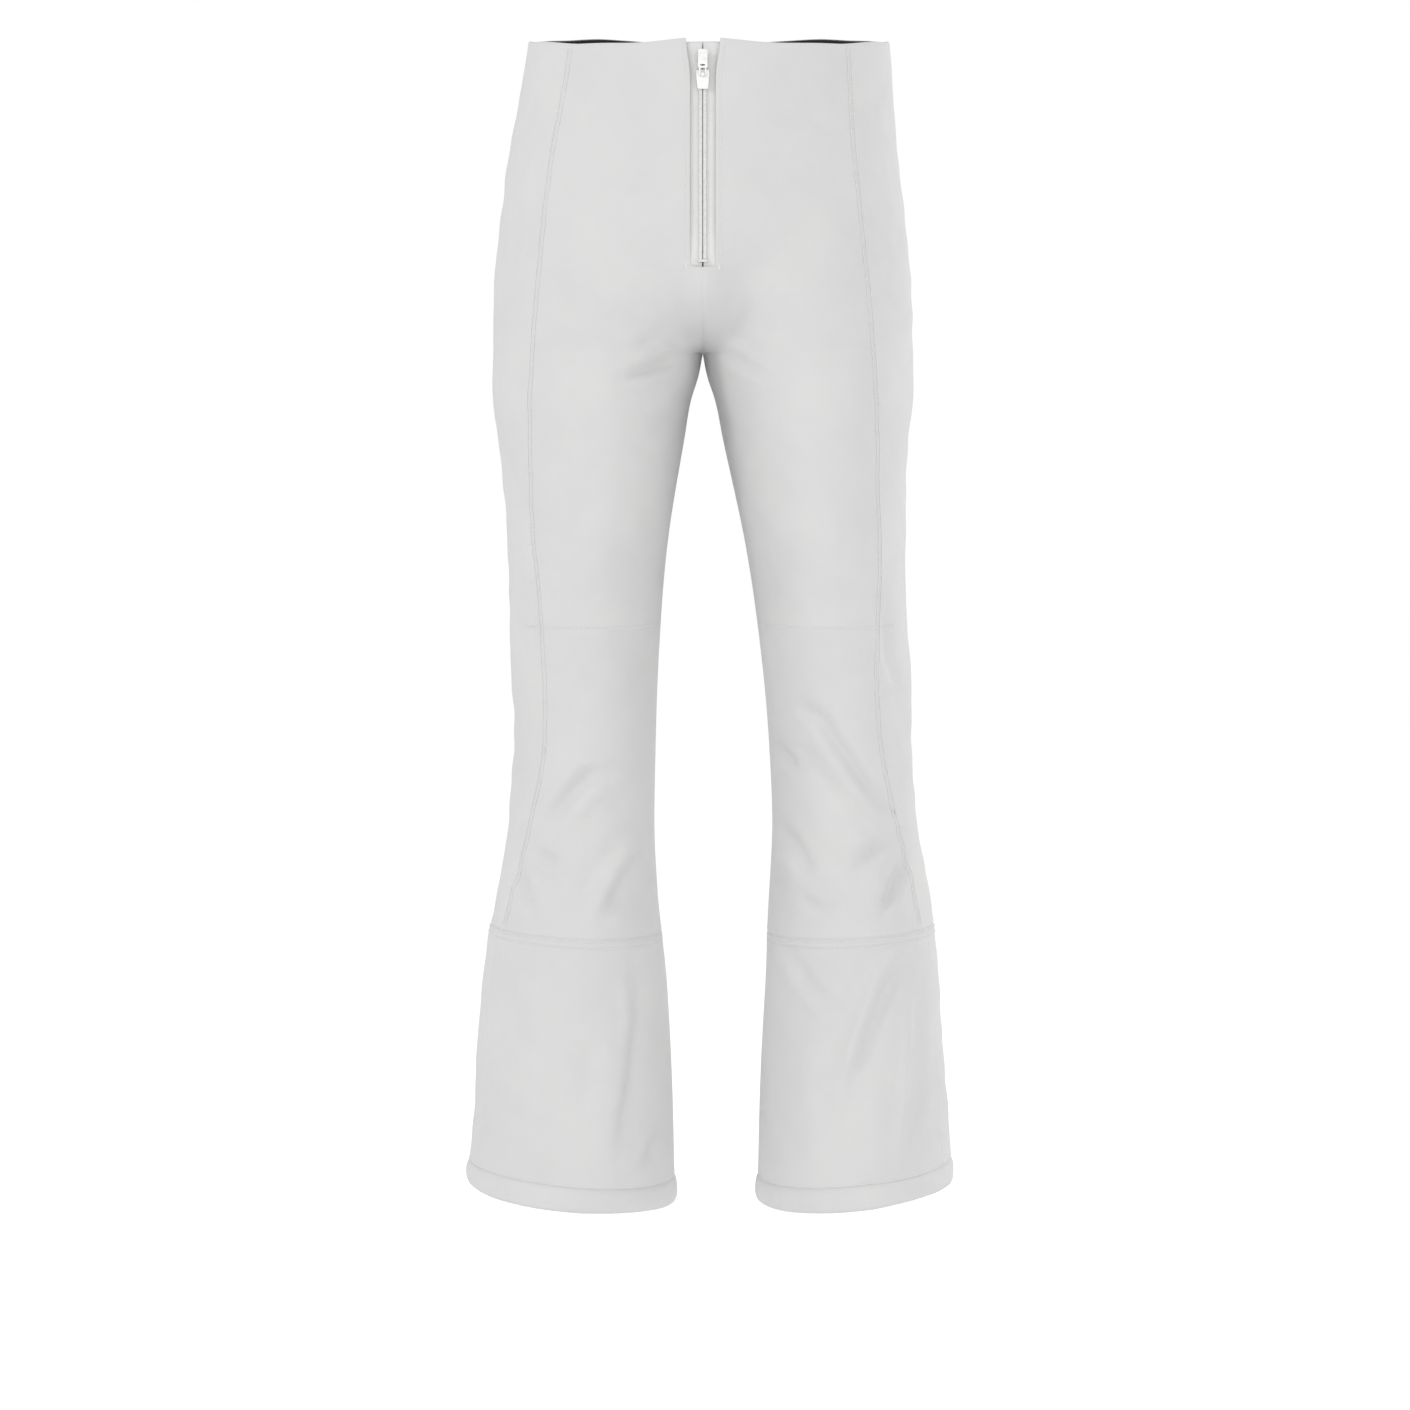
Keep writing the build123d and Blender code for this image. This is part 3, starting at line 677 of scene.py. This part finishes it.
def hard_material(name, colour, worn, rough, metal, scale, coat=0.0):
    """Enamel, nylon or steel with fine mottling, small scratches and rubbed spots."""
    def build(tree, shader):
        place = node(tree, "ShaderNodeTexCoord").outputs["Object"]
        blotch = node(tree, "ShaderNodeTexNoise", {"Vector": place, "Scale": scale, "Detail": 5.0})
        grit = node(tree, "ShaderNodeTexNoise", {"Vector": place, "Scale": scale * 9, "Detail": 3.0})
        tone = ramp(tree, blotch.outputs["Fac"], worn, colour, (0.3, 0.55))
        tree.links.new(tone, shader.inputs["Base Color"])
        gloss = node(
            tree, "ShaderNodeMapRange",
            {"Value": grit.outputs["Fac"], "To Min": rough - 0.1, "To Max": rough + 0.12},
        )
        tree.links.new(gloss.outputs["Result"], shader.inputs["Roughness"])
        lump = node(
            tree, "ShaderNodeBump", {"Height": grit.outputs["Fac"], "Strength": 0.12, "Distance": 0.00015},
        )
        tree.links.new(lump.outputs["Normal"], shader.inputs["Normal"])
        shader.inputs["Metallic"].default_value = metal
        shader.inputs["Coat Weight"].default_value = coat
    return material(name, build)


SHELL_LIGHT = (0.545, 0.545, 0.542)
SHELL_SHADE = (0.512, 0.512, 0.512)
SOFTSHELL = cloth_material("softshell_face", SHELL_LIGHT, SHELL_SHADE, 0.0007, 0.82, 0.35, 0.12)
BACKER = cloth_material("softshell_backer", (0.115, 0.115, 0.12), (0.08, 0.08, 0.085), 0.0012, 0.9, 0.5, 0.3)
FACING = cloth_material("facing_cloth", (0.03, 0.03, 0.033), (0.018, 0.018, 0.02), 0.0008, 0.85, 0.4, 0.2)
SHIELD = cloth_material("shield_cloth", SHELL_LIGHT, SHELL_SHADE, 0.0007, 0.85, 0.35, 0.1)
# The zip tape is painted lighter than the shell cloth whose tone it shares. This painted light makes up for
# the shade in the sunken zip window.
ZIP_TAPE_PAINTED_LIGHT = cloth_material("zip_tape_knit_painted_light", (0.68, 0.68, 0.675), (0.61, 0.61, 0.605), 0.0006, 0.8, 0.7, 0.05)
GAITER = cloth_material("gaiter_weave", (0.055, 0.055, 0.06), (0.035, 0.035, 0.04), 0.0005, 0.55, 0.3, 0.05)
ELASTIC = cloth_material("elastic_webbing", (0.03, 0.03, 0.03), (0.015, 0.015, 0.015), 0.0015, 0.8, 0.8, 0.1)
LOOP_TAPE = cloth_material("loop_tape", (0.035, 0.035, 0.037), (0.02, 0.02, 0.022), 0.0009, 0.6, 0.7, 0.1)
THREAD_PALE = hard_material("thread_pale", (0.67, 0.67, 0.67), (0.59, 0.59, 0.59), 0.62, 0.0, 900.0)
NYLON = hard_material("zip_nylon", (0.56, 0.56, 0.55), (0.46, 0.46, 0.45), 0.42, 0.0, 500.0)
ENAMEL = hard_material("zip_enamel", (0.66, 0.655, 0.645), (0.58, 0.575, 0.565), 0.32, 0.0, 260.0, coat=0.4)
STEEL = hard_material("hook_steel", (0.56, 0.56, 0.57), (0.4, 0.4, 0.41), 0.35, 1.0, 320.0)

# ---- shell panels -----------------------------------------------------------
middle_line = constant(0.0)
back_line = constant(1.0)
side_line = constant(0.425)
for word, side in SIDES:
    made = [
        panel("front_panel", word, side, front_edge, front_seam, WAIST_Z, KNEE_Z),
        panel("shin_panel", word, side, middle_line, front_seam, KNEE_Z, CUFF_Z),
        panel("side_panel", word, side, front_seam, back_seam, WAIST_Z, CUFF_Z),
        panel("back_panel", word, side, back_seam, back_line, WAIST_Z, CUFF_Z),
        panel("flare_front", word, side, middle_line, side_line, CUFF_Z, HEM_SEAM_Z),
        panel("flare_back", word, side, side_line, back_line, CUFF_Z, HEM_SEAM_Z),
    ]
    for obj, flat, area in made:
        declare(flat, area)

# ---- hem bands --------------------------------------------------------------
# distance out from the leg and height from the hem seam
HEM_FOLD = [
    (-0.9, 0.4), (0.3, -0.8), (1.3, -2.6), (2.0, -5.5), (2.3, -9.5), (2.2, -14.0), (1.6, -18.0),
    (0.7, -20.6), (-0.6, -21.6), (-1.9, -20.8), (-2.5, -18.0), (-2.7, -12.0), (-2.8, -6.0), (-2.8, 1.0),
]


def hem_band(word, side):
    """Folded hem: out over the leg, round the bottom edge and up inside."""
    out, down = np.array(HEM_FOLD).T[:, :, None]
    columns = 190
    u = np.linspace(0, 1, columns, endpoint=False)[None, :] + 0 * out
    pucker = 0.28 * np.sin(2 * math.pi * u * 61) * np.sin(2 * math.pi * u * 17 + 1.0)
    pucker = pucker * np.clip(-down / 6, 0, 1)
    sag = 0.9 * np.sin(2 * math.pi * u * 3 + side) * np.clip(-down / 20, 0, 1)
    z = HEM_SEAM_Z + down + 0 * u
    points = cloth_point(word, side, u, z, out + pucker)
    points[..., 2] += np.clip(sag, -0.2, 0.9)
    obj, flat, area = cloth_grid(f"hem_band_{word}_cloth", points, side < 0, wrap=True, thickness=0.9)
    finish_piece(obj, [SOFTSHELL], [f"hem_band_{word}"])
    declare(flat, area)


for word, side in SIDES:
    hem_band(word, side)

# ---- waist facing -----------------------------------------------------------
FACING_ROWS = np.array([-1.0, -2.0, -4.0, -8.0, -14.0, -22.0, -30.0, -38.0, -46.0, -52.0, -54.5])
FACING_IN = -(CLOTH + 0.9)


def facing_points(turn, z):
    """Points of the facing: turn 0 is the left middle front, 1 the middle back, 2 the right middle front."""
    u = 1.0 - np.abs(1.0 - turn)
    side = np.where(turn <= 1.0, 1.0, -1.0)
    x, y = section(u, z)
    nx, ny = outward(u, z)
    off = np.where(side > 0, relief("left", 1, u, z), relief("right", -1, u, z)) + FACING_IN
    off = off - 1.2 * np.exp(-(((z + 1.0) / 2.0) ** 2)) + 0.25 * np.sin(60 * turn) * np.clip(-z / 50, 0, 1)
    across = side * (x + nx * off)
    return np.stack([across + sway(across, z), y + ny * off, z + rim(u, z)], axis=-1)


def facing(name, first, last):
    turn = np.linspace(first, last, int((last - first) * 110))[None, :] + 0 * FACING_ROWS[:, None]
    z = FACING_ROWS[:, None] + 0 * turn
    obj, flat, area = cloth_grid(f"{name}_cloth", facing_points(turn, z), False, thickness=0.8)
    finish_piece(obj, [FACING], [name])
    declare(flat, area)


facing("waist_facing_left", 0.045, 0.498)
facing("waist_facing_back", 0.502, 1.498)
facing("waist_facing_right", 1.502, 1.955)

# ---- snow gaiters -----------------------------------------------------------
GAITER_RADII = [(0.0, 0.93), (0.08, 0.93), (0.25, 0.92), (0.5, 0.89), (0.8, 0.84), (1.0, 0.815)]


def ring_points(centre, across, back, turn, z):
    """Points round an upright ring, with its reaches across and back."""
    x = centre[0] - across * np.cos(turn)
    y = centre[1] - back * np.sin(turn)
    return np.stack([x, y, z], axis=-1)


def gaiter(word, side):
    """Inner cuff that hangs from the cuff seam and gathers into an elastic band."""
    low, high = (np.array(corner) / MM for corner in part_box(f"snow_gaiter_{word}"))
    centre, half = (low + high) / 2, (high - low)[0] / 2
    share = np.linspace(0, 1, 46)[:, None]
    turn = np.linspace(0, 2 * math.pi, 260, endpoint=False)[None, :]
    size = np.interp(share, *np.array(GAITER_RADII).T) * half
    phase = 34 * turn + 1.3 * np.sin(3 * turn) + 0.8 * np.sin(share * 5)
    pleat = (0.25 + 1.5 * smooth((share - 0.2) / 0.8)) * np.cos(phase)
    radius = size + pleat - 1.2
    z = high[2] + (low[2] - high[2]) * share + 0 * turn
    points = ring_points(centre, side * radius, radius, turn, z)
    obj, flat, area = cloth_grid(f"snow_gaiter_{word}_cloth", points, side < 0, wrap=True, thickness=0.5)
    finish_piece(obj, [GAITER], [f"snow_gaiter_{word}"])
    declare(flat, area)

    low, high = (np.array(corner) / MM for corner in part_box(f"gaiter_elastic_{word}"))
    share = np.linspace(0, 1, 40)[:, None]
    half = (high - low)[0] / 2 - 0.6
    ribs = 0.22 * np.cos(share * math.pi * 2 * 9) + 0.3 * np.cos(40 * turn)
    round_off = -0.9 * (np.exp(-((share / 0.04) ** 2)) + np.exp(-(((1 - share) / 0.04) ** 2)))
    radius = half + ribs + round_off - 0.6
    z = high[2] + (low[2] - high[2]) * share + 0 * turn
    points = ring_points(centre, side * radius, radius, turn, z)
    obj, flat, area = cloth_grid(f"gaiter_elastic_{word}_cloth", points, side < 0, wrap=True, thickness=1.6)
    finish_piece(obj, [ELASTIC], [f"gaiter_elastic_{word}"])
    declare(flat, area)


for word, side in SIDES:
    gaiter(word, side)

# ---- zip: tapes, coils and shield -------------------------------------------
# The zip's own directions: across, up the centre front, and out of the cloth.
ZIP_JOINT = next(joint for joint in frame["joints"] if joint["name"] == "zip_slide")
ZIP_UP = np.array(ZIP_JOINT["axis"]) * -1.0
ZIP_OUT = np.array([0.0, -ZIP_UP[2], ZIP_UP[1]])
ZIP_ORIGIN = np.array([0.0, -FRONT_REACH, 0.0])


def zip_point(across, up, out):
    """Points from distances across the zip, up it and out of the cloth."""
    across, up, out = np.broadcast_arrays(across, up, out)
    sideways = ZIP_ORIGIN + across[..., None] * np.array([1.0, 0, 0])
    return sideways + up[..., None] * ZIP_UP + out[..., None] * ZIP_OUT


def zip_tape(word, side):
    across = np.array([0.75, 1.2, 2.0, 3.0, 4.0, 4.6, 5.2, 6.0, 7.0, 8.5, 10.0, 12.0, 14.0, 15.0])[None, :]
    low, high = (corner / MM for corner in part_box(f"zip_tape_{word}"))
    up = np.linspace(high[2] - 0.5, low[2] + 1.0, 320)[:, None] / ZIP_UP[2]
    ribs = 0.09 * np.sin(2 * math.pi * across / 1.6) + 0.05 * np.sin(2 * math.pi * up / 1.25)
    lift = np.where(across < 4.4, 0.05, 0.0)
    points = zip_point(side * across + 0 * up, up + 0 * across, -2.85 + ribs + lift)
    obj, flat, area = cloth_grid(f"zip_tape_{word}_cloth", points, side < 0, thickness=0.5)
    finish_piece(obj, [ZIP_TAPE_PAINTED_LIGHT], [f"zip_tape_{word}"])
    declare(flat, area)


COIL_PITCH = 1.3


def zip_coil(word, side):
    """Half of the closed coil: a smooth cord with a low rib for each turn."""
    low, high = COIL_BOX
    top, bottom = high[2] / ZIP_UP[2], low[2] / ZIP_UP[2]
    around = 16
    up = np.arange(bottom + 0.3, top - 0.3, COIL_PITCH / 5)[:, None]
    angle = (2 * math.pi * np.arange(around) / around)[None, :]
    turn = np.cos(2 * math.pi * (up + 0.35 * np.cos(angle)) / COIL_PITCH)
    wide, deep = 1.52 + 0.05 * turn, 0.8 + 0.09 * turn
    across, out = (np.abs(wave) ** 0.75 * np.sign(wave) for wave in (np.cos(angle), np.sin(angle)))
    points = zip_point(side * (1.78 + wide * across), up + 0 * angle, -1.92 + deep * out)
    rows = len(up)
    faces = grid_faces(rows, around, side > 0, wrap=True)
    first_ring = tuple(range(around))
    last_ring = tuple((rows - 1) * around + k for k in range(around))
    faces.append(first_ring if side > 0 else first_ring[::-1])
    faces.append(last_ring[::-1] if side > 0 else last_ring)
    obj = mesh_object(f"zip_coil_{word}_cord", points.reshape(-1, 3), faces)
    finish_piece(obj, [NYLON], [f"zip_coil_{word}"])


def fly_shield():
    low, high = (np.array(corner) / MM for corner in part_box("fly_shield"))
    half = high[0] - 0.3
    top, bottom = -1.4, low[2] / ZIP_UP[2] + 1.0
    across = np.linspace(-1, 1, 34)[None, :]
    share = np.linspace(0, 1, 120)[:, None]
    corner = np.sqrt(np.clip(1 - (np.clip(share - 0.965, 0, 0.035) / 0.036) ** 2, 0.05, 1))
    wave = 0.35 * np.sin(share * 13 + across * 1.5) - 0.4 * across**2
    points = zip_point(across * half * corner, top + (bottom - top) * share + 0 * across, -6.75 + wave)
    obj, flat, area = cloth_grid("fly_shield_cloth", points, False, thickness=0.7)
    finish_piece(obj, [SHIELD], ["fly_shield"])
    declare(flat, area)


for word, side in SIDES:
    zip_tape(word, side)
    zip_coil(word, side)
fly_shield()

# ---- hanger loops -----------------------------------------------------------


def hanger_loop(word, side):
    """Narrow tape folded into a long loop that hangs inside the waist."""
    low, high = (np.array(corner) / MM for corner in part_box(f"hanger_loop_{word}"))
    x, top, bottom = (low[0] + high[0]) / 2, high[2] - 1.0, low[2] + 11.5
    bend = np.linspace(0, math.pi, 22)
    drop = np.linspace(top, bottom, 26)[:-1]
    reach = 9.6
    path = [(-reach, z) for z in drop] + [(-reach * math.cos(t), bottom - reach * math.sin(t)) for t in bend]
    path += [(reach, z) for z in drop[::-1]]
    path = np.array(path)
    tangent = np.gradient(path, axis=0)
    tangent /= np.linalg.norm(tangent, axis=1, keepdims=True)
    normal = np.stack([-tangent[:, 1], tangent[:, 0]], axis=1)
    lean = 0.45 * np.sin(np.linspace(0, 3 * math.pi, len(path)))
    wide = np.linspace(-1.7, 1.7, 7)
    grid = np.zeros((len(path), len(wide), 3))
    for k, w in enumerate(wide):
        grid[:, k, 0] = x + lean * side * 0.4 + 0.12 * math.cos(w * 5)
        grid[:, k, 1] = path[:, 0] + normal[:, 0] * w
        grid[:, k, 2] = path[:, 1] + normal[:, 1] * w
    obj = cloth_grid(f"hanger_loop_{word}_cloth", grid, False, thickness=0.8)[0]
    obj.modifiers["thickness"].offset = 0.0
    finish_piece(obj, [LOOP_TAPE], [f"hanger_loop_{word}"])


for word, side in SIDES:
    hanger_loop(word, side)

# ---- topstitching -----------------------------------------------------------
TOP_OFFSET = 2.0
HEM_STITCH = 1.6
TACKS = {"right": -612.0, "left": -668.0}   # height of each leg's bar-tack; see FOLDS on its source


def topstitching(word, side):
    front_lines = [
        down_line(word, side, shifted(front_seam, -TOP_OFFSET), WAIST_Z - 4, CUFF_Z + 4, 0.3),
        down_line(word, side, shifted(front_seam, TOP_OFFSET), WAIST_Z - 4, CUFF_Z + 4, 0.3),
        down_line(word, side, shifted(front_edge, 4.0), WAIST_Z - 3, WINDOW_BOTTOM + 9, 0.1),
        round_line(word, side, KNEE_Z + TOP_OFFSET, 0.01, 0.39, 0.2),
    ]
    tack = front_seam(np.array([TACKS[word]]))[0]
    front_lines += [
        round_line(word, side, TACKS[word] + step * 0.8, tack - 0.008, tack + 0.008, 0.4)
        for step in range(-2, 3)
    ]
    stitches(f"stitches_front_{word}", front_lines, THREAD_PALE)
    back_lines = [
        down_line(word, side, shifted(back_seam, TOP_OFFSET), WAIST_Z - 4, CUFF_Z + 4, 0.3),
        down_line(word, side, shifted(back_line, -TOP_OFFSET), WAIST_Z - 4, CROTCH_Z + 30, 0.3),
    ]
    stitches(f"stitches_back_{word}", back_lines, THREAD_PALE)
    cuff_lines = [
        round_line(word, side, CUFF_Z - TOP_OFFSET, 0.01, 0.99, 0.3),
        round_line(word, side, CUFF_Z - TOP_OFFSET - 5.0, 0.01, 0.99, 0.3),
        round_line(word, side, HEM_SEAM_Z + HEM_STITCH, 0.01, 0.99, 0.0),
    ]
    stitches(f"stitches_leg_{word}", cuff_lines, THREAD_PALE)


for word, side in SIDES:
    topstitching(word, side)

# ---- CAD pieces that keep their own shape -----------------------------------
KEPT = {
    "zip_slider": ENAMEL,
    "zip_pull_tab": ENAMEL,
    "zip_bottom_stop": NYLON,
    "zip_top_stop_left": NYLON,
    "zip_top_stop_right": NYLON,
    "waist_hook": STEEL,
    "waist_bar": STEEL,
    "gaiter_hook_left": STEEL,
    "gaiter_hook_right": STEEL,
}
for name, finish in KEPT.items():
    kept = frame["nodes"][name]
    if kept.material_slots:
        for slot in kept.material_slots:
            slot.material = finish
    else:
        kept.data.materials.append(finish)

# ---- camera and light -------------------------------------------------------
PHOTO_FOV = math.radians(23.6)
EYE = (0.0, -3.0, -0.333)
AIM = (0.002, 0.0, -0.577)


def place_camera():
    data = bpy.data.cameras.new("camera")
    data.angle = PHOTO_FOV
    data.clip_end = 60.0
    camera = bpy.data.objects.new("camera", data)
    bpy.context.scene.collection.objects.link(camera)
    camera.location = EYE
    pitch = math.atan2(EYE[2] - AIM[2], AIM[1] - EYE[1])
    turn = math.atan2(EYE[0] - AIM[0], AIM[1] - EYE[1])
    camera.rotation_euler = (math.pi / 2 - pitch, 0.0, turn)
    bpy.context.scene.camera = camera


def area_light(name, place, aim, size, power):
    data = bpy.data.lights.new(name, "AREA")
    data.shape = "DISK"
    data.size = size
    data.energy = power
    lamp = bpy.data.objects.new(name, data)
    bpy.context.scene.collection.objects.link(lamp)
    lamp.location = place
    towards = np.array(aim) - np.array(place)
    flat = math.hypot(towards[0], towards[1])
    turn = math.atan2(towards[1], towards[0]) - math.pi / 2
    lamp.rotation_euler = (math.atan2(flat, -towards[2]), 0.0, turn)


FLOOR_DROP = 0.42      # the pants hang this far above the floor
FLOOR_SIZE = 14.0
FLOOR_ALBEDO = 0.8
FLOOR_GLOW = 0.2       # with the sky's light this makes the floor as pale as the sky
SKY = 1.0
KEY = 30.0
FILL = 14.0
FRONT = 24.0
BACK = 28.0


def pale_floor(tree, shader):
    shader.inputs["Base Color"].default_value = (FLOOR_ALBEDO, FLOOR_ALBEDO, FLOOR_ALBEDO, 1)
    shader.inputs["Roughness"].default_value = 0.9
    shader.inputs["Emission Color"].default_value = (1, 1, 1, 1)
    shader.inputs["Emission Strength"].default_value = FLOOR_GLOW


def studio():
    """Pale floor, an even white sky, and soft lamps in front and behind."""
    low = HEM_Z - FLOOR_DROP / MM
    far = FLOOR_SIZE / MM
    corners = [(-far, -far, low), (far, -far, low), (far, far, low), (-far, far, low)]
    floor = mesh_object("floor", corners, [(0, 1, 2, 3)])
    floor.data.materials.append(material("pale_floor", pale_floor))
    world = bpy.data.worlds.new("studio_sky")
    world.use_nodes = True
    world.node_tree.nodes["Background"].inputs["Color"].default_value = (1, 1, 1, 1)
    world.node_tree.nodes["Background"].inputs["Strength"].default_value = SKY
    bpy.context.scene.world = world
    bpy.context.scene.view_settings.view_transform = "Standard"
    area_light("key", (-2.7, -1.7, 1.1), (0, 0, -0.5), 0.9, KEY)
    area_light("fill", (2.6, -1.9, 0.2), (0, 0, -0.6), 1.6, FILL)
    area_light("front", (0.2, -4.2, 0.3), (0, 0, -0.5), 1.6, FRONT)
    area_light("back", (2.5, 2.0, 0.9), (0, 0, -0.5), 1.2, BACK)


place_camera()
studio()
